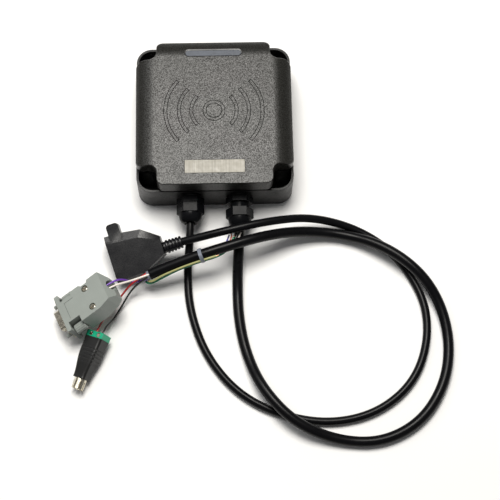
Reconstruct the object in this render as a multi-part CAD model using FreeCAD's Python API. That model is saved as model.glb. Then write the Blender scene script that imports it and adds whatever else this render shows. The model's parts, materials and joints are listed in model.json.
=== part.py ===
import FreeCAD
import Part
import math
import os
from FreeCAD import Vector, Placement, Rotation

# Wall-mount RFID card reader, lying on its back. Millimetres.
# Origin: centre of the back face. +Z out of the front, +Y to the top edge, the two cable
# glands point along -Y, and the cables lie on the plane of the back face (z = 0).

# ---- driving dimensions: case ----
WIDTH = 120.0            # case is square
DEPTH = 46.0             # back face to front face
CORNER_R = 12.0
BASE_H = 30.0            # height of the base tray
SEAM = 2.0               # recessed gasket line between base and cover
WALL = 2.6
FLOOR = 2.5
TAB = 44.0               # half width of each cover side between the corner notches
NOTCH_OUT_R = 5.5
NOTCH_IN_R = 6.0
WELL_WALL = 1.8
ROLL_SIDE = (15.0, 7.0)  # rolled left and right margins: width, drop
ROLL_TOP = (14.0, 5.0)   # rolled top margin: width, drop
WALL_HOLE = 51.5         # wall screw holes, distance from each centre line
WALL_HOLE_R = 2.25
COVER_SCREW = (37.0, 49.0)
BOARD_SCREW = (36.0, 34.0)
BOARD_Z = 12.0
BOARD_T = 1.6

# ---- front ornament, window and label ----
RING_R = 7.2
ARC_R = (17.3, 26.7, 37.1)
ARC_HALF = 41.5          # degrees each side of the horizontal
STROKE = 2.0
GROOVE = 0.5
GROOVE_DEPTH = 0.6
WINDOW_Y = 48.7
WINDOW = (44.8, 6.6)
LABEL_Y = -45.8
LABEL = (45.2, 10.4)

# ---- glands ----
GLAND_Z = 17.0
LEFT_X = -19.3
RIGHT_X = 18.3
LEFT_REACH = 21.0        # dome nut end, outward from the wall
RIGHT_REACH = 25.0
HEX_FLATS = 18.5
SHANK_R = 7.9
SPIGOT_R = 7.2
SPIGOT_BORE = 5.3
RUN_FIT = 0.06           # running clearance, radial
NUT_MOUTH = 0.8          # gap round the cable at the dome nut's mouth
FIT = 0.1

# ---- cables and wires ----
NET_R = 3.1
CTRL_R = 4.0
WIRE_R = 0.75

NET_ROUTE = [
    (-19.3, -76, 17), (-20, -94, 15.8), (-22.5, -115, 4), (-21, -146, 3.15), (-9, -182, 3.15),
    (15, -212, 3.15), (48, -229, 3.15), (84, -235, 3.15), (119, -227, 3.15), (147, -204, 3.15),
    (159.5, -170, 3.15), (157, -136, 3.15), (136, -102, 3.15), (108, -82.5, 4), (73.5, -76.5, 15),
    (41, -83, 26), (6, -91.5, 28.5), (-26.5, -96.5, 19.2)]
CTRL_ROUTE = [
    (18.3, -80, 17), (17, -102, 16.5), (15.5, -125, 4.5), (16, -155, 4.05), (22, -184, 4.05),
    (34, -212, 13), (56, -236, 13), (87, -248, 4.05), (120, -250, 4.05), (150, -235, 4.05),
    (169, -207, 4.05), (175, -175, 4.05), (169, -143.5, 6.5), (153, -120, 14), (127, -99.5, 13),
    (97, -87.5, 5.5), (64, -86.5, 12), (34, -95, 25), (3, -105, 27.5), (-25, -112.5, 23),
    (-50, -121, 16.5)]
WIRE_ROUTES = {
    "wire_red": [(-50.9, -119.7, 18.4), (-58.5, -123.8, 16.3), (-67, -129, 11.5), (-75, -137.5, 5),
                 (-83, -148, 2.0), (-86.3, -153, 5.3), (-89, -159.5, 8.9), (-91.6, -166.3, 8.8)],
    "wire_black": [(-49.7, -122.7, 17.8), (-57.5, -126.4, 15.8), (-65, -131.5, 10), (-71.5, -140.5, 4),
                   (-78, -151, 2.4), (-81.3, -156, 6.5), (-84.3, -161.2, 11), (-87, -168, 11)],
    "wire_white": [(-50.2, -121.6, 18.9), (-58.5, -124.6, 19), (-67.5, -128, 20.5),
                   (-77, -131.7, 24.6), (-86, -136.8, 23.6)],
    "wire_purple": [(-49.2, -123.3, 16.1), (-56.5, -125.6, 13.4), (-64, -125.2, 12),
                    (-71.5, -126.2, 22.5), (-77.5, -129.2, 26.4), (-84, -133.5, 26.4)],
    "wire_green": [(-49.6, -120.7, 14.0), (-53, -121.8, 13.1), (-54, -125.6, 11.2),
                   (-49.5, -127.2, 12.4), (-43.5, -125.2, 15.9), (-32, -120.6, 20.6),
                   (-22.5, -117.4, 22.8), (-10.3, -114, 25), (0, -111, 25), (7, -106, 21.4),
                   (11.5, -100, 21.1), (13.5, -94, 22)],
    "wire_yellow": [(-49.2, -122.1, 14.3), (-51.8, -123, 13.4), (-51.2, -126, 13.8),
                    (-47.5, -126.2, 16.6), (-42, -123.6, 19.6), (-32.1, -120.2, 22.5),
                    (-22.9, -117.3, 24.8), (-10.6, -113.8, 26.9), (0.1, -111, 28.2)],
}
TIE_AT = Placement(Vector(-11.6, -109.3, 25.2), Rotation(Vector(0, 0, 1), Vector(-0.93, -0.28, -0.19)))

# ---- pieces on the cable ends ----
SOCKET_POS = Placement(Vector(-79, -109.5, 10.6), Rotation(195.2, 9, -15))
HOOD_POS = Placement(Vector(-113, -153.3, 12.2), Rotation(30, -20, -18))
ADAPTER_POS = Placement(Vector(-88.3, -164.6, 10.1), Rotation(248.3, 5, 25))


def rounded_wire(points, radii):
    """Closed outline through the corner points, each corner rounded by its radius."""
    corners = [Vector(x, y, 0) for x, y in points]
    count = len(corners)
    rounds = []
    for i, here in enumerate(corners):
        back = (corners[i - 1] - here).normalize()
        ahead = (corners[(i + 1) % count] - here).normalize()
        half = back.getAngle(ahead) / 2
        reach = radii[i] / math.tan(half)
        middle = here + (back + ahead).normalize() * (radii[i] / math.sin(half) - radii[i])
        rounds.append((here + back * reach, middle, here + ahead * reach))
    edges = []
    for i, (start, middle, end) in enumerate(rounds):
        if radii[i] > 0:
            edges.append(Part.Arc(start, middle, end).toShape())
        following = rounds[(i + 1) % count][0]
        if (following - end).Length > 1e-6:
            edges.append(Part.LineSegment(end, following).toShape())
    return Part.Wire(edges)


def prism(points, radii, z0, z1):
    if not isinstance(radii, (list, tuple)):
        radii = [radii] * len(points)
    solid = Part.Face(rounded_wire(points, radii)).extrude(Vector(0, 0, z1 - z0))
    solid.translate(Vector(0, 0, z0))
    return solid


def rect(width, height, x=0.0, y=0.0):
    a = width / 2
    b = height / 2
    return [(x - a, y - b), (x + a, y - b), (x + a, y + b), (x - a, y + b)]


def block(x0, x1, y0, y1, z0, z1):
    return Part.makeBox(x1 - x0, y1 - y0, z1 - z0, Vector(x0, y0, z0))


def rod(radius, length, x=0.0, y=0.0, z=0.0, axis=(0, 0, 1)):
    return Part.makeCylinder(radius, length, Vector(x, y, z), Vector(*axis))


def ring(outer, inner, length, x=0.0, y=0.0, z=0.0, axis=(0, 0, 1)):
    return rod(outer, length, x, y, z, axis).cut(rod(inner, length, x, y, z, axis))


def hexagon(flats, z0, z1, turn=0.0):
    reach = flats / math.sqrt(3)
    angles = [math.radians(60 * i + turn) for i in range(6)]
    return prism([(reach * math.cos(a), reach * math.sin(a)) for a in angles], 0.4, z0, z1)


def turned(profile):
    """Solid of revolution about Z from (radius, z) corners."""
    corners = [Vector(r, 0, z) for r, z in profile]
    face = Part.Face(Part.makePolygon(corners + corners[:1]))
    return face.revolve(Vector(0, 0, 0), Vector(0, 0, 1), 360)


def join(shapes):
    whole = shapes[0]
    for shape in shapes[1:]:
        whole = whole.fuse(shape)
    return whole.removeSplitter()


def remove(shape, tools):
    for tool in tools:
        shape = shape.cut(tool)
    return shape


def placed(shape, place):
    moved = shape.copy()
    moved.Placement = place.multiply(moved.Placement)
    return moved


def four(x, y):
    return [(x, y), (-x, y), (-x, -y), (x, -y)]


def save(name, shape):
    shape.exportStep("parts/" + name + ".step")
    print(name, "solids", len(shape.Solids), "valid", shape.isValid(), "volume", round(shape.Volume, 1))


def save_group(name, shapes):
    save(name, Part.makeCompound(shapes))


# ---------------------------------------------------------------- case
def notched(inset, z0, z1):
    """Plan of the cover: a square with its four corners notched out."""
    a = WIDTH / 2 - inset
    t = TAB - inset
    points = [(a, -t), (a, t), (t, t), (t, a), (-t, a), (-t, t),
              (-a, t), (-a, -t), (-t, -t), (-t, -a), (t, -a), (t, -t)]
    outer = max(NOTCH_OUT_R - inset, 0.8)
    inner = NOTCH_IN_R + inset
    radii = [outer, outer, inner, outer, outer, inner] * 2
    return prism(points, radii, z0, z1)


def rolled_cut(width, drop, face_z, along):
    """Material above the rolled margin beyond the flat of the front face."""
    a = WIDTH / 2
    radius = (width * width + drop * drop) / (2 * drop)
    mid = width * 0.55
    low = radius - math.sqrt(radius * radius - mid * mid)
    start = Vector(a - width, 0, face_z)
    arc = Part.Arc(start, Vector(a - width + mid, 0, face_z - low), Vector(a, 0, face_z - drop))
    corners = [Vector(a, 0, face_z - drop), Vector(a + 5, 0, face_z - drop),
               Vector(a + 5, 0, face_z + 8), Vector(a - width, 0, face_z + 8), start]
    edges = [arc.toShape()]
    for first, second in zip(corners, corners[1:]):
        edges.append(Part.LineSegment(first, second).toShape())
    cutter = Part.Face(Part.Wire(edges)).extrude(Vector(0, 2 * WIDTH, 0))
    cutter.translate(Vector(0, -WIDTH, 0))
    cutter.rotate(Vector(0, 0, 0), Vector(0, 0, 1), along)
    return cutter


def cover_form(inset, z0, face_z):
    form = notched(inset, z0, face_z)
    cuts = [rolled_cut(*ROLL_SIDE, face_z, 0), rolled_cut(*ROLL_SIDE, face_z, 180),
            rolled_cut(*ROLL_TOP, face_z, 90)]
    return remove(form, cuts)


def arc_band(radius, width, centre_angle):
    """Flat arc stroke with square ends, standing through the front face."""
    z0 = DEPTH - GROOVE_DEPTH
    band = ring(radius + width / 2, radius - width / 2, 2.0, z=z0)
    extra = math.degrees((width - STROKE) / 2 / radius)
    half = math.radians(ARC_HALF + extra)
    far = radius + 6
    wedge = prism([(0, 0), (far * math.cos(half) * 1.6, -far * math.sin(half) * 1.6),
                   (far * math.cos(half) * 1.6, far * math.sin(half) * 1.6)], 0, z0, z0 + 2.0)
    wedge.rotate(Vector(0, 0, 0), Vector(0, 0, 1), centre_angle)
    return band.common(wedge)


def ornament_grooves():
    outer = STROKE + 2 * GROOVE
    z0 = DEPTH - GROOVE_DEPTH
    grooves = [ring(RING_R + outer / 2, RING_R + STROKE / 2, 2.0, z=z0),
               ring(RING_R - STROKE / 2, RING_R - outer / 2, 2.0, z=z0)]
    for radius in ARC_R:
        for side in (0, 180):
            grooves.append(arc_band(radius, outer, side).cut(arc_band(radius, STROKE, side)))
    return grooves


def make_cover():
    z0 = BASE_H + SEAM
    shell = cover_form(0, z0, DEPTH).cut(cover_form(WALL, z0, DEPTH - WALL))
    posts = [rod(3.2, DEPTH - 2.4 - z0, x, y, z0) for x, y in four(*COVER_SCREW)]
    shell = join([shell] + posts)
    cuts = [rod(1.5, 8, x, y, z0 - 0.5) for x, y in four(*COVER_SCREW)]
    cuts.append(prism(rect(*WINDOW, 0, WINDOW_Y), WINDOW[1] / 2 - 0.01, DEPTH - 1.9, DEPTH + 1))
    cuts.append(prism(rect(WINDOW[0] - 3, WINDOW[1] - 3, 0, WINDOW_Y), 1.7, DEPTH - 8, DEPTH))
    cuts.append(prism(rect(LABEL[0] + 0.4, LABEL[1] + 0.4, 0, LABEL_Y), 0.6, DEPTH - 0.4, DEPTH + 1))
    shell = remove(shell, cuts + ornament_grooves())
    rim = [e for e in shell.Edges if e.BoundBox.ZMin > DEPTH - 0.01 and e.BoundBox.YMax < -59.9]
    return shell.makeChamfer(0.5, rim) if rim else shell


def make_base():
    tray = prism(rect(WIDTH, WIDTH), CORNER_R, 0, BASE_H)
    tray = tray.makeChamfer(0.8, [e for e in tray.Edges if e.BoundBox.ZMax < 0.01])
    inner = WIDTH - 2 * WELL_WALL
    inside = prism(rect(inner, inner), CORNER_R - WELL_WALL, FLOOR, BASE_H + 1)
    wells = inside.cut(notched(0.0, 0, BASE_H + 2))
    tray = remove(tray, [notched(WALL, FLOOR, BASE_H + 1), wells])
    bosses = [rod(4.2, 18.0, x, y, 1.0) for x, y in four(*COVER_SCREW)]
    standoffs = [rod(3.0, BOARD_Z - 1.0, x, y, 1.0) for x, y in four(*BOARD_SCREW)]
    tray = join([tray] + bosses + standoffs)
    cuts = [rod(WALL_HOLE_R, 6, x, y, -1) for x, y in four(WALL_HOLE, WALL_HOLE)]
    cuts += [rod(1.9, 30, x, y, -1) for x, y in four(*COVER_SCREW)]
    cuts += [rod(3.3, 15, x, y, -1) for x, y in four(*COVER_SCREW)]
    cuts += [rod(1.2, 10, x, y, 4) for x, y in four(*BOARD_SCREW)]
    cuts += [rod(SHANK_R + 0.3, 8, x, -WIDTH / 2 - 1, GLAND_Z, (0, 1, 0)) for x in (LEFT_X, RIGHT_X)]
    return remove(tray, cuts)


def make_gasket():
    return notched(1.4, BASE_H, BASE_H + SEAM).cut(notched(WALL, BASE_H - 1, BASE_H + SEAM + 1))


def recess_screw(head_r, head_h, shaft_r, length, slots):
    """Screw with its head up at z = 0 and a slot (1) or cross (2) in the head."""
    body = turned([(0, -length), (shaft_r, -length + 0.5), (shaft_r, 0), (head_r, 0),
                   (head_r, head_h * 0.6), (head_r * 0.7, head_h), (0, head_h)])
    cut = block(-head_r * 0.75, head_r * 0.75, -0.3, 0.3, head_h * 0.45, head_h + 1)
    body = body.cut(cut)
    if slots == 2:
        cut.rotate(Vector(0, 0, 0), Vector(0, 0, 1), 90)
        body = body.cut(cut)
    return body


def make_case():
    save("base_housing", make_base())
    save("front_cover", make_cover())
    save("cover_gasket", make_gasket())
    outline = rect(WINDOW[0] - 0.4, WINDOW[1] - 0.4, 0, WINDOW_Y)
    lens = prism(outline, WINDOW[1] / 2 - 0.22, DEPTH - 1.9, DEPTH - 0.9)
    save("window_lens", lens)
    plate = prism(rect(*LABEL, 0, LABEL_Y), 0.5, DEPTH - 0.4, DEPTH + 0.1)
    save("label_plate", plate)
    screws = []
    for x, y in four(*COVER_SCREW):
        screw = recess_screw(2.9, 1.8, 1.45, 23.0, 2)
        screw.rotate(Vector(0, 0, 0), Vector(1, 0, 0), 180)
        screw.translate(Vector(x, y, 14.0))
        screws.append(screw)
    save_group("cover_screws", screws)


# ---------------------------------------------------------------- electronics in the case
def make_board():
    z = BOARD_Z
    top = z + BOARD_T
    board = prism(rect(82, 92, 0, 1), 3, z, top)
    board = remove(board, [rod(1.5, 4, x, y, z - 1) for x, y in four(*BOARD_SCREW)])
    notches = [rod(5.0, 4, x, y, z - 1) for x, y in four(*COVER_SCREW)]
    save("main_board", remove(board, notches))
    screws = []
    for x, y in four(*BOARD_SCREW):
        screw = recess_screw(2.6, 1.6, 1.15, 6.5, 2)
        screw.translate(Vector(x, y, top))
        screws.append(screw)
    save_group("board_screws", screws)
    shield = block(-34, -14, -20, 8, top, top + 4)
    save("rf_shield", shield.makeFillet(0.6, [e for e in shield.Edges if e.BoundBox.ZMin > top + 3.9]))
    buzzer = ring(6.0, 1.0, 7.0, 24, -10, top)
    save("buzzer", buzzer.fuse(rod(6.0, 2.0, 24, -10, top)))
    leds = [turned([(0, 0), (1.5, 0), (1.5, 3.5), (1.1, 4.6), (0, 5.0)]) for _ in range(3)]
    for led, x in zip(leds, (-12, 0, 12)):
        led.translate(Vector(x, 41.5, top))
    save_group("status_leds", leds)
    net = block(-27, -11, -38, -26, top, top + 11).cut(block(-25.5, -12.5, -39, -29, top + 2, top + 9))
    term = block(6, 30, -36, -27, top, top + 9)
    term = remove(term, [block(8 + 4.6 * i, 11.4 + 4.6 * i, -37, -30, top + 1.5, top + 5) for i in range(5)])
    save_group("board_connectors", [net, term])
    ground = prism(rect(64, 64, 0, 4), 2, 27.0, 28.2)
    leg_spots = ((-29, 32), (29, 32), (-8, -25), (2.5, -25))
    legs = [block(x - 2, x + 2, y - 2, y + 2, top, 27.0) for x, y in leg_spots]
    save("antenna_ground", join([ground] + legs))
    patch = prism(rect(48, 48, 0, 4), 1, 28.2, 33.2)
    save("antenna_patch", patch.cut(rod(0.9, 12, 0, 12, 25)))
    pin = turned([(0, 0), (0.8, 0), (0.8, 4.9), (1.8, 4.9), (1.2, 5.7), (0, 5.7)])
    pin.translate(Vector(0, 12, 28.4))
    save("antenna_pin", pin)


# ---------------------------------------------------------------- glands
def outward(shape, x):
    """Gland pieces are drawn along +Z and turned to point out of the lower wall."""
    turned_shape = shape.copy()
    turned_shape.rotate(Vector(0, 0, 0), Vector(1, 0, 0), 90)
    turned_shape.translate(Vector(x, -WIDTH / 2, GLAND_Z))
    return turned_shape


def make_gland(side, x, reach, cable_r):
    bore = rod(SPIGOT_BORE, 60, 0, 0, -20)
    nut_start = reach - 14.6
    shank = rod(SHANK_R, 11.0, 0, 0, -10.0)
    spigot = rod(SPIGOT_R, reach - 11.5, 0, 0, 6.0)
    body = join([hexagon(HEX_FLATS, 1.0, 6.0), shank, spigot])
    save(side + "_gland_body", outward(body.cut(bore), x))
    save(side + "_gland_washer", outward(ring(9.0, SHANK_R + FIT, 1.0), x))
    locknut = hexagon(21.5, -7.2, -WALL).cut(rod(SHANK_R + 0.05, 20, 0, 0, -12))
    save(side + "_gland_locknut", outward(locknut, x))
    seal_r = SPIGOT_BORE - 0.05
    seal = turned([(cable_r, reach - 10), (seal_r, reach - 10), (seal_r, reach - 5.5),
                   (SPIGOT_BORE + 1.0, reach - 4.6), (cable_r, reach - 4.6)])
    save(side + "_gland_seal", outward(seal, x))
    grip = hexagon(HEX_FLATS, nut_start, nut_start + 7.4)
    dome = turned([(0, nut_start + 7), (8.9, nut_start + 7), (8.9, nut_start + 8.6), (8.3, nut_start + 11.4),
                   (7.0, nut_start + 13.4), (cable_r + 2.2, reach), (0, reach)])
    nut = join([grip, dome])
    nut = remove(nut, [rod(SPIGOT_R + RUN_FIT, 11.6, 0, 0, nut_start - 1),
                       rod(cable_r + NUT_MOUTH, 40, 0, 0, nut_start)])
    save(side + "_gland_nut", outward(nut, x))


# ---------------------------------------------------------------- cables and wires
def corner_radius(before, here, after):
    turn = (here - before).getAngle(after - here)
    shorter = min((here - before).Length, (after - here).Length)
    return 0.45 * shorter / math.tan(turn / 2), turn


def path_wire(name, route):
    """Straight runs joined by tangent arcs, each as large as its two runs allow."""
    points = [Vector(*p) for p in route]
    edges = []
    last = points[0]
    radii = []
    for before, here, after in zip(points, points[1:], points[2:]):
        radius, turn = corner_radius(before, here, after)
        reach = radius * math.tan(turn / 2)
        back = (before - here).normalize()
        ahead = (after - here).normalize()
        first = here + back * reach
        second = here + ahead * reach
        middle = here + (back + ahead).normalize() * (radius / math.cos(turn / 2) - radius)
        edges.append(Part.LineSegment(last, first).toShape())
        edges.append(Part.Arc(first, middle, second).toShape())
        last = second
        radii.append(round(radius, 1))
    edges.append(Part.LineSegment(last, points[-1]).toShape())
    print(name, "bend radii", radii)
    return Part.Wire(edges)


def tube(name, route, radius):
    path = path_wire(name, route)
    heading = Vector(*route[1]) - Vector(*route[0])
    section = Part.Wire(Part.makeCircle(radius, Vector(*route[0]), heading))
    solid = path.makePipeShell([section], True, False)
    expected = math.pi * radius * radius * path.Length
    print(name, "length", round(path.Length, 1), "volume ratio", round(solid.Volume / expected, 4))
    return solid


def make_cords():
    save("ethernet_cable", tube("ethernet_cable", NET_ROUTE, NET_R))
    save("control_cable", tube("control_cable", CTRL_ROUTE, CTRL_R))
    for name, route in WIRE_ROUTES.items():
        save(name, tube(name, route, WIRE_R))
    band = ring(7.0, 6.0, 3.0, 0, 0, -1.5).fuse(block(-2.6, 2.6, 6.2, 10.0, -2.2, 2.2))
    save("cable_tie", placed(band.removeSplitter(), TIE_AT))


# ---------------------------------------------------------------- network socket
def make_socket():
    face = [(0, -14.3), (0, 15.4), (-23, 14.6), (-27.5, 12.0), (-40.5, 6.0), (-40.5, -4.6),
            (-25, -12.0), (-14, -13.2)]
    wide = [(0, -20.2), (0, 17), (-21, 16.0), (-27, 13.0), (-41, 6.4), (-41, -8), (-28, -17.6), (-14, -19.6)]
    middle = prism(wide, 0.6, -3.9, 3.9)
    lower = Part.Wire(Part.makePolygon([Vector(x, y, 6.5) for x, y in face + face[:1]]))
    upper = Part.Wire(Part.makePolygon([Vector(x, y, 3.9) for x, y in wide + wide[:1]]))
    cap = Part.makeLoft([upper, lower], True, True)
    foot = cap.mirror(Vector(0, 0, 0), Vector(0, 0, 1))
    body = join([middle, cap, foot])
    lug = prism([(-4, -14), (-4, -28), (-13.6, -28), (-13.6, -14)], [0, 2.6, 2.6, 0], -2.0, 6.2)
    body = join([body, lug])
    mouth = block(-15, 1, -6.2, 6.2, -4.4, 2.8).fuse(block(-15, 1, -3.2, 3.2, 2.0, 4.8))
    bore = rod(NET_R + 0.2, 6, -42, 1.2, 0, (1, 0, 0))
    save("socket_shell", placed(remove(body, [mouth, bore]), SOCKET_POS))
    insert = block(-14.8, -12.0, -6.0, 6.0, -4.2, 2.6)
    save("socket_insert", placed(insert, SOCKET_POS))
    pins = [block(-11.8, -4.0, 0.9 * i - 3.4, 0.9 * i - 3.0, -3.6, -3.2) for i in range(8)]
    save_group("socket_contacts", [placed(pin, SOCKET_POS) for pin in pins])
    ribs = [ring(5.2 - 0.12 * i, NET_R, 1.7, -43.1 - 2.6 * i, 1.2, 0, (-1, 0, 0)) for i in range(5)]
    core = turned([(NET_R, 0), (4.4, 0), (3.9, 14.2), (NET_R, 14.2)])
    core.rotate(Vector(0, 0, 0), Vector(0, 1, 0), -90)
    core.translate(Vector(-41, 1.2, 0))
    save("socket_relief", placed(join([core] + ribs), SOCKET_POS))


# ---------------------------------------------------------------- D-sub hood
HOOD_T = 8.0             # half thickness
HOOD_END = 43.5          # flange face to the wire exit
HOOD_SCREWS = ((25.4, 7.2), (25.4, -10.2))
JACK_Y = 13.9            # jackscrew axis from the centre line
POCKET = (3.4, 13.4)     # open side bays for the jackscrew knobs, along x
BAY_Y = 9.8


def hood_outer():
    plan = [(0, -16.5), (4.5, -16.5), (14.5, -15.5), (30, -15.2), (38.5, -12.8),
            (HOOD_END, -9.4), (HOOD_END, 8), (39.5, 13.2), (29.4, 12.9), (28.4, 10.9),
            (23.4, 10.9), (21.6, 12.6), (14.6, 12.6), (10.5, 14.8), (4.5, 16.5), (0, 16.5)]
    radii = [0.8, 0.8, 2, 2, 2, 1.5, 1.5, 1.5, 0.5, 0.5, 0.5, 0.5, 0.8, 0.8, 0.8, 0.8]
    form = prism(plan, radii, -HOOD_T, HOOD_T)
    corners = [(39.3, HOOD_T), (HOOD_END, 0), (50, 0), (50, 12), (39.3, 12), (39.3, HOOD_T)]
    slope = Part.Face(Part.makePolygon([Vector(x, -20, z) for x, z in corners]))
    return form.cut(slope.extrude(Vector(0, 40, 0)))


def make_hood():
    outer = hood_outer()
    hollow = [(1.8, -14.4), (30, -13.3), (37, -10.8), (37, 11), (30.6, 11), (29.4, 9.1), (22.6, 9.1),
              (21, 10.8), (14, 10.8), (1.8, 14.4)]
    inner = prism(hollow, 0.4, -HOOD_T + 1.8, HOOD_T - 1.8)
    mouth = block(-1, 5, -8.8, 8.8, -5.2, 5.2)
    exit_hole = rod(4.6, 12, 34, 1.0, 0, (1, 0, 0))
    walls = []
    bays = []
    for side in (1, -1):
        near, far = sorted((side * 8.9, side * BAY_Y))
        walls.append(block(1, POCKET[1] + 1.5, near, far, -7, 7))
        near, far = sorted((side * 8.9, side * 16))
        walls.append(block(POCKET[1], POCKET[1] + 1.5, near, far, -7, 7))
        near, far = sorted((side * BAY_Y, side * 20))
        bays.append(block(POCKET[0], POCKET[1], near, far, -9, 9))
    solid = outer.cut(inner)
    solid = solid.fuse(Part.makeCompound(walls).common(outer))
    solid = remove(solid, bays + [mouth, exit_hole])
    tracks = [rod(1.7, 6, -1, y, 0, (1, 0, 0)) for y in (-JACK_Y, JACK_Y)]
    wells = [rod(2.7, 3, x, y, HOOD_T - 2.0) for x, y in HOOD_SCREWS]
    holes = [rod(1.7, 20, x, y, -10) for x, y in HOOD_SCREWS]
    marks = [block(6.0, 14.2, 6.6, 6.9, HOOD_T - 0.3, 9), block(6.0, 6.3, -8.0, 6.9, HOOD_T - 0.3, 9)]
    solid = remove(solid, tracks + wells + holes + marks)
    top = solid.common(block(-5, 50, -30, 30, 0.0, 12))
    bottom = solid.common(block(-5, 50, -30, 30, -12, 0.0))
    save_group("hood_upper", [placed(s, HOOD_POS) for s in top.Solids])
    save_group("hood_lower", [placed(s, HOOD_POS) for s in bottom.Solids])
    flange = prism(rect(12.4, 30.6), 1.5, 0, 0.9)
    flange.rotate(Vector(0, 0, 0), Vector(0, 1, 0), -90)
    flange.translate(Vector(-0.05, 0, 0))
    shell = dsub_outline(8.6, 4.2, 6.0).cut(dsub_outline(8.1, 3.7, 8.0))
    flange = remove(flange, [rod(1.75, 4, -3, y, 0, (1, 0, 0)) for y in (-JACK_Y, JACK_Y)])
    flange = flange.cut(dsub_outline(8.1, 3.7, 8.0))
    save("dsub_shell", placed(join([flange, shell]), HOOD_POS))
    insulator = dsub_outline(8.0, 3.6, 4.6).fuse(block(0.0, 6, -8.0, 8.0, -3.4, 3.4))
    save("dsub_insulator", placed(insulator, HOOD_POS))
    spots = [(y, 1.4) for y in (-5.5, -2.75, 0, 2.75, 5.5)] + [(y, -1.4) for y in (-4.1, -1.4, 1.4, 4.1)]
    save_group("dsub_contacts", [placed(rod(0.7, 1.2, -5.8, y, z, (1, 0, 0)), HOOD_POS) for y, z in spots])
    screws = []
    nuts = []
    for x, y in HOOD_SCREWS:
        screw = recess_screw(2.5, 1.7, 1.5, 14.0, 1)
        screw.translate(Vector(x, y, HOOD_T - 2.0))
        screws.append(placed(screw, HOOD_POS))
        nut = hexagon(5.0, -HOOD_T - 1.85, -HOOD_T - 0.05)
        nut = nut.cut(rod(1.55, 6, 0, 0, -HOOD_T - 3))
        nut.translate(Vector(x, y, 0))
        nuts.append(placed(nut, HOOD_POS))
    save_group("hood_screws", screws)
    save_group("hood_nuts", nuts)
    clamp = block(31.0, 33.5, -5.0, 7.0, -5.8, -4.8).fuse(block(31.0, 33.5, -6.0, -4.8, -5.8, 2.0))
    save("wire_clamp", placed(clamp, HOOD_POS))
    for name, y in (("upper_jackscrew", JACK_Y), ("lower_jackscrew", -JACK_Y)):
        knob = turned([(0, 0), (1.5, 0), (1.5, 8.8), (3.4, 8.8), (3.9, 9.4), (3.9, 17.0),
                       (3.3, 17.9), (0, 17.9)])
        flutes = []
        for i in range(14):
            angle = 2 * math.pi * i / 14
            flutes.append(rod(0.5, 12, 4.1 * math.cos(angle), 4.1 * math.sin(angle), 7))
        knob = remove(knob, flutes + [block(-5, 5, -0.4, 0.4, 17.1, 19)])
        knob.rotate(Vector(0, 0, 0), Vector(0, 1, 0), 90)
        knob.translate(Vector(-5.0, y, 0))
        save(name, placed(knob, HOOD_POS))


def dsub_outline(half_width, half_height, length):
    """D-shaped prism that runs from the flange out of the mating side (-x)."""
    slope = half_height * 2 * math.tan(math.radians(10))
    points = [(half_height, -half_width), (half_height, half_width),
              (-half_height, half_width - slope), (-half_height, -half_width + slope)]
    form = prism(points, 1.6, 0, length)
    form.rotate(Vector(0, 0, 0), Vector(0, 1, 0), -90)
    return form


# ---------------------------------------------------------------- power adapter
def make_adapter():
    stations = [(4.6, 7.8, 6.6), (14, 7.4, 6.6), (24, 6.6, 6.2), (31, 5.6, 5.4), (36.5, 5.3, 5.3)]
    sections = []
    for x, half_w, half_t in stations:
        wire = rounded_wire(rect(2 * half_w, 2 * half_t), [2.2] * 4)
        wire.rotate(Vector(0, 0, 0), Vector(0, 0, 1), 90)
        wire.rotate(Vector(0, 0, 0), Vector(0, 1, 0), 90)
        wire.translate(Vector(x, 0, 0))
        sections.append(wire)
    body = Part.makeLoft(sections, True, False)
    grips = []
    for i in range(6):
        x = 13.0 + 2.7 * i
        half = 6.9 - 0.14 * i
        frame = block(x, x + 0.9, -9, 9, -9, 9)
        grips.append(frame.cut(block(x - 1, x + 2, -half, half, -6.1, 6.1)))
    bore = rod(3.6, 6, 33, 0, 0, (1, 0, 0))
    cavity = block(4, 12, -5.6, 5.6, -4.4, 4.4)
    save("adapter_body", placed(remove(body, grips + [bore, cavity]), ADAPTER_POS))
    front = block(0, 4.5, -7.4, 7.4, -5.6, 5.6)
    tongue = block(4.4, 11.8, -5.4, 5.4, -4.2, 4.2)
    cuts = [rod(1.45, 8, -1, y, 0, (1, 0, 0)) for y in (-2.7, 2.7)]
    cuts += [rod(1.7, 4, 2.3, y, 3.2) for y in (-3.4, 3.4)]
    save("terminal_block", placed(remove(front.fuse(tongue), cuts), ADAPTER_POS))
    screws = []
    for y in (-3.4, 3.4):
        screw = turned([(0, 0), (1.5, 0), (1.5, 1.9), (0, 1.9)]).cut(block(-2, 2, -0.25, 0.25, 1.2, 3))
        screw.translate(Vector(2.3, y, 3.3))
        screws.append(placed(screw, ADAPTER_POS))
    save_group("terminal_screws", screws)
    sleeve = ring(4.5, 4.1, 8.0, 36.6, 0, 0, (1, 0, 0))
    slots = []
    for i in range(4):
        slot = block(38.4, 45, -0.5, 0.5, -6, 6)
        slot.rotate(Vector(0, 0, 0), Vector(1, 0, 0), 45 * i)
        slots.append(slot)
    collar = ring(4.5, 2.3, 1.4, 36.6, 0, 0, (1, 0, 0))
    save("adapter_shell", placed(join([sleeve.cut(Part.makeCompound(slots)), collar]), ADAPTER_POS))
    pin = turned([(0, 0), (1.6, 0), (1.6, 7), (1.2, 8.2), (0, 8.6)])
    pin.rotate(Vector(0, 0, 0), Vector(0, 1, 0), 90)
    pin.translate(Vector(36.6, 0, 0))
    save("adapter_pin", placed(pin, ADAPTER_POS))


os.makedirs("parts", exist_ok=True)
make_case()
make_board()
make_gland("left", LEFT_X, LEFT_REACH, NET_R)
make_gland("right", RIGHT_X, RIGHT_REACH, CTRL_R)
make_cords()
make_socket()
make_hood()
make_adapter()
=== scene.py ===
import json
import math

import bmesh
import bpy
from mathutils import Matrix, Vector


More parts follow.
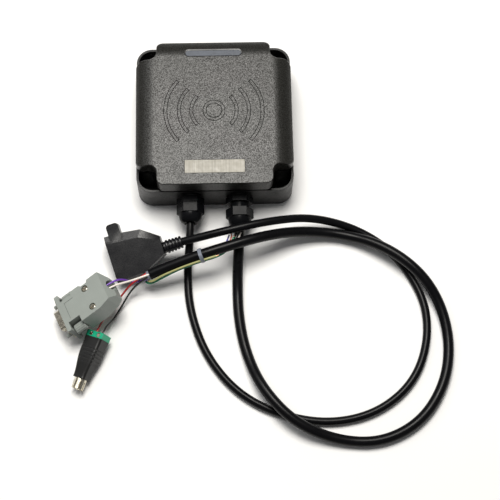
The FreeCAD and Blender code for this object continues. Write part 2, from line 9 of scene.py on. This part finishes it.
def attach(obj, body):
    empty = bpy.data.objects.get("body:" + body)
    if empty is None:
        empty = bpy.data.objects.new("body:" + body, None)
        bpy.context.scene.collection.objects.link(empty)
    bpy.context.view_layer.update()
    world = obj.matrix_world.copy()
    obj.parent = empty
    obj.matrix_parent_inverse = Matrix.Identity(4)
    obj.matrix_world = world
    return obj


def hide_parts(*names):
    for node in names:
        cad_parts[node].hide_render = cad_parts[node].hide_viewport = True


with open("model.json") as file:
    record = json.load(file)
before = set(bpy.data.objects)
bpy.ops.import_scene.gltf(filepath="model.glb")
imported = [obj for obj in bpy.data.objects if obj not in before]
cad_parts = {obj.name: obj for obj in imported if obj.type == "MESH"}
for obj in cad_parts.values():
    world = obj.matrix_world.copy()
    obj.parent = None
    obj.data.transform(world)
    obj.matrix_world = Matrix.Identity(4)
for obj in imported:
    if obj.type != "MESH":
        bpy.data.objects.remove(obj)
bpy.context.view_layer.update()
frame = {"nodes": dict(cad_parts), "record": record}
scene = bpy.context.scene
BODY = "reader"

# ---- sizes in metres, as in the CAD source ----
NET_R = 0.0031
CTRL_R = 0.004
WIRE_R = 0.00075
FACE_Z = 0.046
WINDOW_AT = (0.0, 0.0487)
TIE_AT = Vector((-0.0116, -0.1089, 0.0252))
TIE_HEADING = Vector((0.93, 0.28, 0.19))
CTRL_END = Vector((-0.050, -0.121, 0.0165))
CTRL_END_HEADING = Vector((-0.927, -0.315, -0.204))

NET_ROUTE = [
    (-.0193, -.076, .017), (-.020, -.094, .0158), (-.0225, -.115, .004), (-.021, -.146, .00315),
    (-.009, -.182, .00315), (.015, -.212, .00315), (.048, -.229, .00315), (.084, -.235, .00315),
    (.119, -.227, .00315), (.147, -.204, .00315), (.1595, -.170, .00315), (.157, -.136, .00315),
    (.136, -.102, .00315), (.108, -.0825, .004), (.0735, -.0765, .015), (.041, -.083, .026),
    (.006, -.0915, .0285), (-.0265, -.0965, .0192)]
CTRL_ROUTE = [
    (.0183, -.080, .017), (.017, -.102, .0165), (.0155, -.125, .0045), (.016, -.155, .00405),
    (.022, -.184, .00405), (.034, -.212, .013), (.056, -.236, .013), (.087, -.248, .00405),
    (.120, -.250, .00405), (.150, -.235, .00405), (.169, -.207, .00405), (.175, -.175, .00405),
    (.169, -.1435, .0065), (.153, -.120, .014), (.127, -.0995, .013), (.097, -.0875, .0055),
    (.064, -.0865, .012), (.034, -.095, .025), (.003, -.105, .0275), (-.025, -.1125, .023),
    (-.050, -.121, .0165)]
WIRE_ROUTES = {
    "red": [(-.0509, -.1197, .0184), (-.0585, -.1238, .0163), (-.067, -.129, .0115),
            (-.075, -.1375, .005), (-.083, -.148, .002), (-.0863, -.153, .0053),
            (-.089, -.1595, .0089), (-.0916, -.1663, .0088)],
    "black": [(-.0497, -.1227, .0178), (-.0575, -.1264, .0158), (-.065, -.1315, .010),
              (-.0715, -.1405, .004), (-.078, -.151, .0024), (-.0813, -.156, .0065),
              (-.0843, -.1612, .011), (-.087, -.168, .011)],
    "white": [(-.0502, -.1216, .0189), (-.0585, -.1246, .019), (-.0675, -.128, .0205),
              (-.077, -.1317, .0246), (-.086, -.1368, .0236)],
    "purple": [(-.0492, -.1233, .0161), (-.0565, -.1256, .0134), (-.064, -.1252, .012),
               (-.0715, -.1262, .0225), (-.0775, -.1292, .0264), (-.084, -.1335, .0264)],
    "green": [(-.0496, -.1207, .014), (-.053, -.1218, .0131), (-.054, -.1256, .0112),
              (-.0495, -.1272, .0124), (-.0435, -.1252, .0159), (-.032, -.1206, .0206),
              (-.0225, -.1174, .0228), (-.0103, -.114, .025), (0, -.111, .025), (.007, -.106, .0214),
              (.0115, -.100, .0211), (.0135, -.094, .022)],
    "yellow": [(-.0492, -.1221, .0143), (-.0518, -.123, .0134), (-.0512, -.126, .0138),
               (-.0475, -.1262, .0166), (-.042, -.1236, .0196), (-.0321, -.1202, .0225),
               (-.0229, -.1173, .0248), (-.0106, -.1138, .0269), (.0001, -.111, .0282)],
}


# ---------------------------------------------------------------- materials
def node_tree(name):
    mat = bpy.data.materials.new(name)
    mat.use_nodes = True
    tree = mat.node_tree
    shader = tree.nodes["Principled BSDF"]
    return mat, tree, shader


def link(tree, source, output, target, socket):
    tree.links.new(source.outputs[output], target.inputs[socket])


def noise(tree, coords, scale, detail=3.0, roughness=0.55):
    texture = tree.nodes.new("ShaderNodeTexNoise")
    texture.inputs["Scale"].default_value = scale
    texture.inputs["Detail"].default_value = detail
    texture.inputs["Roughness"].default_value = roughness
    link(tree, coords, "Object", texture, "Vector")
    return texture


def ramp(tree, source, output, low, high, a, b):
    """Colour ramp from colour a at low to colour b at high."""
    node = tree.nodes.new("ShaderNodeValToRGB")
    node.color_ramp.elements[0].position = low
    node.color_ramp.elements[1].position = high
    node.color_ramp.elements[0].color = (*a, 1)
    node.color_ramp.elements[1].color = (*b, 1)
    link(tree, source, output, node, "Fac")
    return node


def mix(tree, kind, factor, a, b):
    """Colour mix; factor, a and b are (node, output) pairs or plain values."""
    node = tree.nodes.new("ShaderNodeMix")
    node.data_type = "RGBA"
    node.blend_type = kind
    for index, value in ((0, factor), (6, a), (7, b)):
        if isinstance(value, tuple) and isinstance(value[0], bpy.types.Node):
            tree.links.new(value[0].outputs[value[1]], node.inputs[index])
        else:
            node.inputs[index].default_value = value
    return node


def shade(colour, factor):
    return tuple(min(1.0, c * factor) for c in colour)


def plastic(name, colour, rough=0.45, grain=0.0006, depth=0.00003, vary=0.12, wear=0.25,
            crevice_shade_depth=0.0, coat=0.0, specular=0.5, speckle=0.0):
    """Moulded plastic: fine grain, uneven sheen, paler worn edges, and painted shade darkening its
    crevices.
    """
    mat, tree, shader = node_tree(name)
    coords = tree.nodes.new("ShaderNodeTexCoord")
    blotch = noise(tree, coords, 55.0, 4.0)
    base = ramp(tree, blotch, "Fac", 0.3, 0.7, shade(colour, 1 - vary), shade(colour, 1 + vary))
    out = (base, "Color")
    if wear:
        geometry = tree.nodes.new("ShaderNodeNewGeometry")
        scuff = noise(tree, coords, 420.0, 5.0)
        edge = ramp(tree, geometry, "Pointiness", 0.52, 0.62, (0, 0, 0), (wear, wear, wear))
        worn = mix(tree, "MULTIPLY", 1.0, (edge, "Color"), (scuff, "Color"))
        pale = tuple(c + 0.12 for c in colour)
        out = (mix(tree, "MIX", (worn, 2), out, (*pale, 1)), 2)
    if crevice_shade_depth:
        # painted shade: ambient occlusion darkens the base colour in grooves and crevices
        crevice_occlusion = tree.nodes.new("ShaderNodeAmbientOcclusion")
        crevice_occlusion.inputs["Distance"].default_value = 0.0022
        crevice_occlusion.samples = 8
        painted_crevice_shade = ramp(tree, crevice_occlusion, "AO", 0.45, 0.92, (1 - crevice_shade_depth,) * 3, (1, 1, 1))
        out = (mix(tree, "MULTIPLY", 1.0, out, (painted_crevice_shade, "Color")), 2)
    tree.links.new(out[0].outputs[out[1]], shader.inputs["Base Color"])
    smudge = noise(tree, coords, 90.0, 5.0)
    gloss = ramp(tree, smudge, "Fac", 0.3, 0.75, (rough * (1 - 2 * vary),) * 3,
                 (min(1, rough * (1 + 2 * vary)),) * 3)
    link(tree, gloss, "Color", shader, "Roughness")
    texture = noise(tree, coords, 1.0 / grain, 2.0, 0.6)
    bump = tree.nodes.new("ShaderNodeBump")
    bump.inputs["Distance"].default_value = depth
    bump.inputs["Strength"].default_value = 0.8
    link(tree, texture, "Fac", bump, "Height")
    link(tree, bump, "Normal", shader, "Normal")
    shader.inputs["Coat Weight"].default_value = coat
    shader.inputs["Coat Roughness"].default_value = 0.15
    shader.inputs["Specular IOR Level"].default_value = specular
    if speckle:
        glints = ramp(tree, texture, "Fac", 0.38, 0.62, (specular * (1 - speckle),) * 3,
                      (specular * (1 + speckle),) * 3)
        # the painted crevice shade also lowers the specular level in grooves and crevices
        crevice_shaded_specular = mix(tree, "MULTIPLY", 1.0, (glints, "Color"), (painted_crevice_shade, "Color"))
        tree.links.new(crevice_shaded_specular.outputs[2], shader.inputs["Specular IOR Level"])
    return mat


def metal(name, colour, rough=0.3, streak=None, metallic=1.0):
    """Plated metal with fine streaks or tumbled marks and dull patches."""
    mat, tree, shader = node_tree(name)
    shader.inputs["Metallic"].default_value = metallic
    coords = tree.nodes.new("ShaderNodeTexCoord")
    mapping = tree.nodes.new("ShaderNodeMapping")
    mapping.inputs["Scale"].default_value = streak or (1, 1, 1)
    link(tree, coords, "Object", mapping, "Vector")
    texture = tree.nodes.new("ShaderNodeTexNoise")
    texture.inputs["Scale"].default_value = 900.0
    texture.inputs["Detail"].default_value = 4.0
    link(tree, mapping, "Vector", texture, "Vector")
    tone = ramp(tree, texture, "Fac", 0.3, 0.7, shade(colour, 0.82), shade(colour, 1.08))
    link(tree, tone, "Color", shader, "Base Color")
    dull = noise(tree, coords, 300.0, 4.0)
    gloss = ramp(tree, dull, "Fac", 0.3, 0.8, (rough * 0.8,) * 3, (rough * 1.5,) * 3)
    link(tree, gloss, "Color", shader, "Roughness")
    bump = tree.nodes.new("ShaderNodeBump")
    bump.inputs["Distance"].default_value = 0.00001
    bump.inputs["Strength"].default_value = 0.5
    link(tree, texture, "Fac", bump, "Height")
    link(tree, bump, "Normal", shader, "Normal")
    return mat


def clear_plastic(name, colour, rough, transmission, coat):
    """Tinted translucent plastic: part transmission, with faint cloudiness."""
    mat, tree, shader = node_tree(name)
    coords = tree.nodes.new("ShaderNodeTexCoord")
    cloud = noise(tree, coords, 160.0, 3.0)
    tone = ramp(tree, cloud, "Fac", 0.3, 0.7, shade(colour, 0.85), shade(colour, 1.1))
    link(tree, tone, "Color", shader, "Base Color")
    gloss = ramp(tree, cloud, "Fac", 0.2, 0.8, (rough * 0.8,) * 3, (rough * 1.3,) * 3)
    link(tree, gloss, "Color", shader, "Roughness")
    shader.inputs["Transmission Weight"].default_value = transmission
    shader.inputs["IOR"].default_value = 1.5
    shader.inputs["Coat Weight"].default_value = coat
    shader.inputs["Specular IOR Level"].default_value = 0.15
    shader.inputs["Coat Roughness"].default_value = 0.05
    return mat


MATS = {
    "case_grey": plastic("case_grey_plastic", (0.0125, 0.0122, 0.0105), 0.37, 0.00075, 0.00014,
                         0.03, 0.04, 0.93, specular=0.38, speckle=0.65),
    "base_black": plastic("base_black_plastic", (0.011, 0.011, 0.011), 0.42, 0.0007, 0.00008,
                          0.12, 0.12, 0.6, specular=0.2, speckle=0.3),
    "rubber_black": plastic("gasket_rubber", (0.012, 0.012, 0.012), 0.7, 0.0005, 0.00002, 0.15, 0.0),
    "gland_nylon": plastic("gland_nylon", (0.005, 0.0053, 0.0062), 0.24, 0.0012, 0.00002,
                           0.15, 0.05, specular=0.05),
    "jacket_black": plastic("cable_jacket", (0.0035, 0.0035, 0.0042), 0.30, 0.0009, 0.00002,
                            0.1, 0.0, specular=0.13),
    "socket_black": plastic("socket_pvc", (0.0035, 0.0035, 0.005), 0.33, 0.0006, 0.00004,
                            0.08, 0.04, 0.3, specular=0.5, speckle=0.3),
    "hood_grey": plastic("hood_grey_abs", (0.27, 0.295, 0.275), 0.42, 0.0004, 0.00003,
                         0.05, 0.10, 0.45, specular=0.3),
    "insulator_white": plastic("insulator_white", (0.70, 0.68, 0.62), 0.45, 0.0005, 0.00002, 0.06, 0.0),
    "adapter_black": plastic("adapter_black", (0.012, 0.012, 0.012), 0.38, 0.0005, 0.00003,
                             0.15, 0.15, specular=0.35),
    "terminal_green": plastic("terminal_green", (0.004, 0.36, 0.19), 0.36, 0.0006, 0.00002, 0.07, 0.1),
    "board_green": plastic("solder_mask", (0.01, 0.12, 0.05), 0.3, 0.002, 0.00001, 0.1, 0.0, coat=0.4),
    "ceramic": plastic("patch_ceramic", (0.68, 0.62, 0.5), 0.6, 0.0004, 0.00002, 0.06, 0.0),
    "steel": metal("zinc_steel", (0.62, 0.62, 0.60), 0.32),
    "nickel": metal("nickel_plate", (0.72, 0.67, 0.55), 0.26),
    "label": metal("label_foil", (0.37, 0.35, 0.30), 0.5, (1, 0.02, 1), 0.0),
    "window": clear_plastic("window_tint", (0.075, 0.085, 0.105), 0.2, 0.0, 0.0),
    "tie_clear": clear_plastic("tie_nylon", (0.30, 0.33, 0.40), 0.35, 0.45, 0.2),
}
# wire insulation: colour, roughness, colour variation, coat
WIRE_LOOKS = {
    "red": ((0.50, 0.012, 0.012), 0.3, 0.1, 0.3),
    "black": ((0.012, 0.012, 0.012), 0.3, 0.1, 0.3),
    "white": ((0.80, 0.74, 0.68), 0.35, 0.05, 0.2),
    "purple": ((0.16, 0.045, 0.42), 0.3, 0.1, 0.3),
    "green": ((0.0, 0.20, 0.085), 0.3, 0.1, 0.3),
    "yellow": ((0.36, 0.36, 0.14), 0.35, 0.06, 0.3),
    "orange": ((0.75, 0.20, 0.12), 0.35, 0.1, 0.0),
    "blue": ((0.05, 0.04, 0.35), 0.3, 0.1, 0.0),
}
for shade_name, (tint, gloss_width, spread, varnish) in WIRE_LOOKS.items():
    MATS["wire_" + shade_name] = plastic("wire_" + shade_name + "_pvc", tint, gloss_width, 0.001, 0.00001,
                                         spread, 0.0, coat=varnish)
COPPER = metal("copper_strand", (0.80, 0.42, 0.25), 0.3)
# painted shade: flat black for the window recess round the lens
SHADOW_BLACK = plastic("recess_painted_shade", (0.006, 0.006, 0.007), 0.35, 0.0008, 0.00001, 0.1, 0.0)


# ---------------------------------------------------------------- pieces
def add(name, mesh, mat, body=BODY):
    piece = bpy.data.objects.new(name, mesh)
    scene.collection.objects.link(piece)
    mesh.materials.clear()
    mesh.materials.append(mat)
    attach(piece, body)
    return piece


def apply_modifiers(piece):
    graph = bpy.context.evaluated_depsgraph_get()
    graph.update()
    made = bpy.data.meshes.new_from_object(piece.evaluated_get(graph))
    piece.modifiers.clear()
    piece.data = made


def smooth_by_angle(mesh, degrees=32):
    mesh.shade_smooth()
    mesh.set_sharp_from_angle(angle=math.radians(degrees))


def bevelled(piece, width, segments=3, degrees=28):
    """Rounds the piece's sharp edges by width."""
    bevel = piece.modifiers.new("edges", "BEVEL")
    bevel.width = width
    bevel.segments = segments
    bevel.limit_method = "ANGLE"
    bevel.angle_limit = math.radians(degrees)
    bevel.use_clamp_overlap = True
    apply_modifiers(piece)
    smooth_by_angle(piece.data)
    even = piece.modifiers.new("even_shading", "WEIGHTED_NORMAL")
    even.weight = 80
    even.keep_sharp = True


def body_named(node):
    return next(b for b, nodes in frame["record"]["behaviour"]["bodies"].items() if node in nodes)


def slot_of(node):
    return next(s["material_slot"] for s in frame["record"]["subparts"] if s["node"] == node)


def skin(node, width, segments=3):
    """A cleaned copy of a CAD node with its moulded edges rounded, shown in the node's place."""
    mesh = frame["nodes"][node].data.copy()
    form = bmesh.new()
    form.from_mesh(mesh)
    bmesh.ops.remove_doubles(form, verts=form.verts, dist=2e-6)
    bmesh.ops.dissolve_limit(form, angle_limit=math.radians(1.0), verts=form.verts, edges=form.edges)
    form.to_mesh(mesh)
    form.free()
    slot = slot_of(node)
    piece = add(node + "_skin", mesh, MATS[slot], body_named(node))
    if width:
        bevelled(piece, width, segments)
    else:
        smooth_by_angle(piece.data)
    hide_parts(node)
    return piece


def cord_curve(name, route, radius, mat):
    curve = bpy.data.curves.new(name, "CURVE")
    curve.dimensions = "3D"
    curve.bevel_depth = radius
    curve.bevel_resolution = 7
    curve.resolution_u = 14
    curve.use_fill_caps = True
    line = curve.splines.new("NURBS")
    line.points.add(len(route) - 1)
    for point, place in zip(line.points, route):
        point.co = (*place, 1.0)
    line.order_u = 3
    line.use_endpoint_u = True
    piece = bpy.data.objects.new(name, curve)
    scene.collection.objects.link(piece)
    curve.materials.append(mat)
    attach(piece, BODY)
    return piece


def as_mesh(form, name):
    bmesh.ops.recalc_face_normals(form, faces=form.faces)
    mesh = bpy.data.meshes.new(name)
    form.to_mesh(mesh)
    form.free()
    return mesh


def closed_ring(rows, name):
    """Ring-shaped mesh: each row of points closes on itself, and the last row joins the first."""
    form = bmesh.new()
    corners = [[form.verts.new(point) for point in row] for row in rows]
    for k, row in enumerate(corners):
        after = corners[(k + 1) % len(corners)]
        for i in range(len(row)):
            j = (i + 1) % len(row)
            form.faces.new((row[i], row[j], after[j], after[i]))
    return as_mesh(form, name)


def revolve(profile, steps=40):
    """Mesh of revolution about Z from (radius, z) points; ends on the axis close it."""
    form = bmesh.new()
    rows = []
    for radius, z in profile:
        if radius < 1e-7:
            rows.append([form.verts.new((0, 0, z))])
        else:
            angles = [2 * math.pi * i / steps for i in range(steps)]
            rows.append([form.verts.new((radius * math.cos(a), radius * math.sin(a), z)) for a in angles])
    for low, high in zip(rows, rows[1:]):
        for i in range(steps):
            k = (i + 1) % steps
            corners = [low[i % len(low)], low[k % len(low)], high[k % len(high)], high[i % len(high)]]
            distinct = list(dict.fromkeys(corners))
            if len(distinct) > 2:
                form.faces.new(distinct)
    return as_mesh(form, "turned")


def turn_to(mesh, origin, heading):
    """Moves a mesh drawn along +Z so that it starts at origin and points along heading."""
    turn = Vector((0, 0, 1)).rotation_difference(Vector(heading).normalized()).to_matrix().to_4x4()
    mesh.transform(Matrix.Translation(Vector(origin)) @ turn)
    return mesh


def slab(outline, z0, z1):
    """Closed prism over a flat outline of (x, y) points."""
    form = bmesh.new()
    low = [form.verts.new((x, y, z0)) for x, y in outline]
    high = [form.verts.new((x, y, z1)) for x, y in outline]
    form.faces.new(list(reversed(low)))
    form.faces.new(high)
    for i in range(len(outline)):
        k = (i + 1) % len(outline)
        form.faces.new((low[i], low[k], high[k], high[i]))
    return as_mesh(form, "slab")


def stadium(width, height, centre, steps=14):
    radius = height / 2
    half = width / 2 - radius
    points = []
    for side, start in ((1, -90), (-1, 90)):
        for i in range(steps + 1):
            angle = math.radians(start + 180 * i / steps)
            points.append((centre[0] + side * half + radius * math.cos(angle),
                           centre[1] + radius * math.sin(angle)))
    return points


# ---- camera ----
def make_camera():
    data = bpy.data.cameras.new("camera")
    data.sensor_width = 36.0
    data.lens = 100.17
    data.clip_start = 0.05
    camera = bpy.data.objects.new("camera", data)
    camera.location = (0.006155, -0.438866, 1.017596)
    camera.rotation_euler = (0.324, -0.012, -0.022)
    scene.collection.objects.link(camera)
    scene.camera = camera


make_camera()

# ---- cords ----
net = cord_curve("ethernet_cord", NET_ROUTE, NET_R, MATS["jacket_black"])
ctrl = cord_curve("control_cord", CTRL_ROUTE, CTRL_R, MATS["jacket_black"])
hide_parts("ethernet_cable")
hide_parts("control_cable")
for colour, route in WIRE_ROUTES.items():
    node = "wire_" + colour
    cord_curve(node + "_cord", route, WIRE_R, MATS[node])
    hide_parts(node)

# ---- case ----
skin("front_cover", 0.0005)
skin("base_housing", 0.0005)
skin("cover_gasket", 0.0003)
skin("label_plate", 0.00012)
skin("window_lens", 0.0003)
skin("cover_screws", 0.00015)


def window_recess_shade():
    """Painted shade: a black ring in the window recess round the lens, just under the cover's face."""
    outer = stadium(0.0446, 0.0064, WINDOW_AT)
    inner = stadium(0.0428, 0.0046, WINDOW_AT)
    section = ((outer, -0.0010), (outer, -0.0004), (inner, -0.0006), (inner, -0.0010))
    rows = [[(x, y, FACE_Z + z) for x, y in outline] for outline, z in section]
    piece = add("window_recess_shade", closed_ring(rows, "window_recess_shade"), SHADOW_BLACK)
    smooth_by_angle(piece.data)


window_recess_shade()

# ---- glands ----
for side in ("left", "right"):
    skin(side + "_gland_body", 0.0004)
    skin(side + "_gland_nut", 0.0006)
    skin(side + "_gland_washer", 0.0002)
    skin(side + "_gland_seal", 0.0002)

# ---- network socket ----
socket = [skin("socket_shell", 0.0009, segments=4), skin("socket_relief", 0.0004),
          skin("socket_insert", 0.0002), skin("socket_contacts", 0)]

# ---- serial plug ----
hood = [skin("hood_upper", 0.0006, segments=4), skin("hood_lower", 0.0006, segments=4),
        skin("dsub_shell", 0.0002), skin("dsub_insulator", 0.0003), skin("dsub_contacts", 0.00015),
        skin("hood_screws", 0.0002), skin("hood_nuts", 0.0002), skin("wire_clamp", 0.0003)]
for name in ("upper_jackscrew", "lower_jackscrew"):
    hood.append(skin(name, 0.00025))

# ---- power adapter ----
adapter = [skin("adapter_body", 0.0004), skin("adapter_shell", 0.00012), skin("adapter_pin", 0.0001),
           skin("terminal_block", 0.0003)]
terminal_screws = skin("terminal_screws", 0.0001)


# ---- small pieces on the cables ----
def cable_tie():
    """Nylon strap pulled round the cable and the folded wires, and its head."""
    heading = TIE_HEADING.normalized()
    side = heading.cross(Vector((0, 0, 1))).normalized()
    up = side.cross(heading).normalized()
    slack = 0.00012
    wires_bulge = 0.00155    # extra reach on the side where the folded wires lie
    half_width = 0.0014
    thickness = 0.0008
    steps = 48
    angles = [2 * math.pi * i / steps for i in range(steps)]
    section = ((-half_width, 0.0), (-half_width, thickness), (half_width, thickness), (half_width, 0.0))
    rows = []
    for along, out in section:
        row = []
        for angle in angles:
            reach = CTRL_R + slack + wires_bulge * max(0.0, math.cos(angle - 0.05)) ** 0.7
            spot = TIE_AT + heading * along
            spot += (side * math.cos(angle) + up * math.sin(angle)) * (reach + out)
            row.append(spot)
        rows.append(row)
    band = add("tie_band", closed_ring(rows, "tie_band"), MATS["tie_clear"])
    bevelled(band, 0.00025, 3, 40)
    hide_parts("cable_tie")
    half_x = 0.0024
    half_y = 0.0019
    head = slab([(-half_x, -half_y), (half_x, -half_y), (half_x, half_y), (-half_x, half_y)], 0, 0.0030)
    place = Matrix((side, heading, -up)).transposed().to_4x4()
    place.translation = TIE_AT - up * (CTRL_R + 0.0003)
    head.transform(place)
    head_piece = add("tie_head", head, MATS["tie_clear"])
    bevelled(head_piece, 0.0005, 3, 40)
    return [band, head_piece]


def jacket_end():
    """Cut end of the control cable: its jacket rim and the ragged clear inner wrap."""
    rim = revolve([(0.0034, -0.0012), (0.00402, -0.0012), (0.00402, 0.0002), (0.0039, 0.0004),
                   (0.0034, 0.0004), (0.0034, -0.0012)])
    wrap = revolve([(0.0031, -0.0005), (0.0033, 0.0012), (0.0031, 0.0026), (0.0029, 0.0026),
                    (0.0029, -0.0005), (0.0031, -0.0005)])
    for corner in wrap.vertices:
        corner.co.z += 0.0005 * math.sin(5 * math.atan2(corner.co.y, corner.co.x))
    made = []
    for name, mesh, slot in (("jacket_rim", rim, "jacket_black"), ("inner_wrap", wrap, "tie_clear")):
        turn_to(mesh, CTRL_END, CTRL_END_HEADING)
        piece = add(name, mesh, MATS[slot])
        smooth_by_angle(piece.data)
        made.append(piece)
    return made


def bare_tip(name, at, heading):
    """Stripped copper strands at a wire's end."""
    tip = revolve([(0, -0.0005), (0.0004, -0.0005), (0.00042, 0.0012), (0.0003, 0.0018), (0, 0.0019)], 14)
    turn_to(tip, at, heading)
    piece = add(name, tip, COPPER)
    smooth_by_angle(piece.data)


# Short ends of cores cut off under the cable: name, points, look, slot.
CUT_CORES = (
    ("orange_core_end", [(0.009, -0.0995, 0.0205), (0.0115, -0.0955, 0.0215),
                         (0.0118, -0.0915, 0.0235), (0.0105, -0.0892, 0.0228)], "wire_orange", "wire_red"),
    ("blue_core_end", [(0.0065, -0.1005, 0.0208), (0.0085, -0.0965, 0.0215),
                       (0.0100, -0.0925, 0.0220)], "wire_blue", "wire_purple"),
    ("dark_core_end", [(0.0125, -0.0985, 0.0212), (0.0155, -0.0940, 0.0222),
                       (0.0175, -0.0900, 0.0222)], "wire_black", "wire_black"),
    ("white_core_end", [(0.0155, -0.0975, 0.0212), (0.0178, -0.0935, 0.0222),
                        (0.0190, -0.0905, 0.0222)], "wire_white", "wire_white"),
)
CUT_CORE_R = 0.0006

tie = cable_tie()
jacket = jacket_end()
bare_tip("green_wire_tip", (0.0135, -0.094, 0.022), (0.25, 0.9, 0.15))
bare_tip("yellow_wire_tip", (0.0001, -0.111, 0.0282), (0.9, 0.25, 0.1))
for name, points, look, slot in CUT_CORES:
    cord_curve(name, points, CUT_CORE_R, MATS[look])

# ---- the CAD nodes themselves: the inner ones show, the rest lie under their skins ----
for name, node in frame["nodes"].items():
    node.data.materials.clear()
    node.data.materials.append(MATS[slot_of(name)])


# ---- floor and light ----
def make_floor():
    mat, tree, shader = node_tree("floor_pale")
    coords = tree.nodes.new("ShaderNodeTexCoord")
    texture = noise(tree, coords, 6.0, 2.0)
    tone = ramp(tree, texture, "Fac", 0.3, 0.7, (0.90, 0.90, 0.90), (0.93, 0.93, 0.93))
    link(tree, tone, "Color", shader, "Base Color")
    shader.inputs["Roughness"].default_value = 0.9
    mesh = slab([(-3, -3), (3, -3), (3, 3), (-3, 3)], -0.02, -0.0001)
    floor = bpy.data.objects.new("floor", mesh)
    scene.collection.objects.link(floor)
    mesh.materials.append(mat)


def area_light(name, place, target, size, power, colour=(1, 1, 1)):
    data = bpy.data.lights.new(name, "AREA")
    data.shape = "RECTANGLE"
    data.size = size[0]
    data.size_y = size[1]
    data.energy = power
    data.color = colour
    light = bpy.data.objects.new(name, data)
    light.location = place
    direction = Vector(target) - Vector(place)
    light.rotation_euler = direction.to_track_quat("-Z", "Y").to_euler()
    scene.collection.objects.link(light)


make_floor()
area_light("key", (-0.04, 0.36, 1.5), (0.0, -0.08, 0.0), (0.7, 0.7), 27, (1.0, 0.975, 0.925))
area_light("fill", (-0.9, 0.5, 1.5), (0.0, -0.1, 0.0), (1.2, 1.2), 7)
world = bpy.data.worlds.new("studio")
world.use_nodes = True
world.node_tree.nodes["Background"].inputs["Color"].default_value = (1, 1, 1, 1)
world.node_tree.nodes["Background"].inputs["Strength"].default_value = 0.15
scene.world = world
scene.view_settings.view_transform = "Standard"
